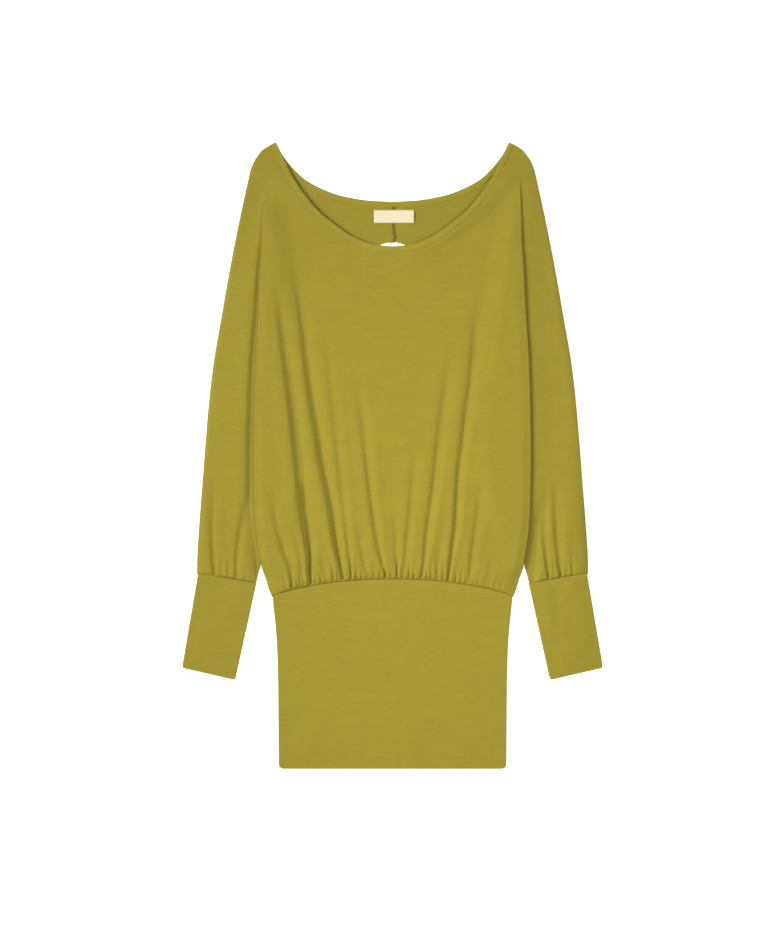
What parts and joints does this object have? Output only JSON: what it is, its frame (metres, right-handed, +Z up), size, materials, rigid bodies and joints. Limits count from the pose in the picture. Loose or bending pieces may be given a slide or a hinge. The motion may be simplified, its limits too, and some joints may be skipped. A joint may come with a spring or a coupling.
{
  "type": "long-sleeve top with batwing sleeves, laid flat",
  "caption": "Long-sleeve jersey top laid flat on its back, with batwing sleeves, a wide neck, a gathered body, long fitted cuffs and a wide hip band",
  "frame": {"origin": "on the surface that the garment lies on, under the middle of its bounding box", "axes": "+Z up from the surface to the front of the garment, +Y from the hem to the neck, +X to the right as it is looked at from above"},
  "size_m": [0.6104, 0.909, 0.0104],
  "materials": {
    "jersey": "viscose jersey, plain knit, matt",
    "band_jersey": "viscose jersey, plain knit, matt",
    "cuff_jersey": "viscose jersey, plain knit, matt",
    "binding_jersey": "viscose jersey, plain knit, matt",
    "label_weave": "smooth woven ribbon, plain"
  },
  "bodies": {
    "root": {"front": "jersey", "back_left": "jersey", "back_right": "jersey", "hip_band_front": "band_jersey", "hip_band_back": "band_jersey", "cuff_left": "cuff_jersey", "cuff_right": "cuff_jersey", "neck_binding_front": "binding_jersey", "neck_binding_back": "binding_jersey", "keyhole_binding": "binding_jersey", "label": "label_weave"}
  },
  "joints": []
}
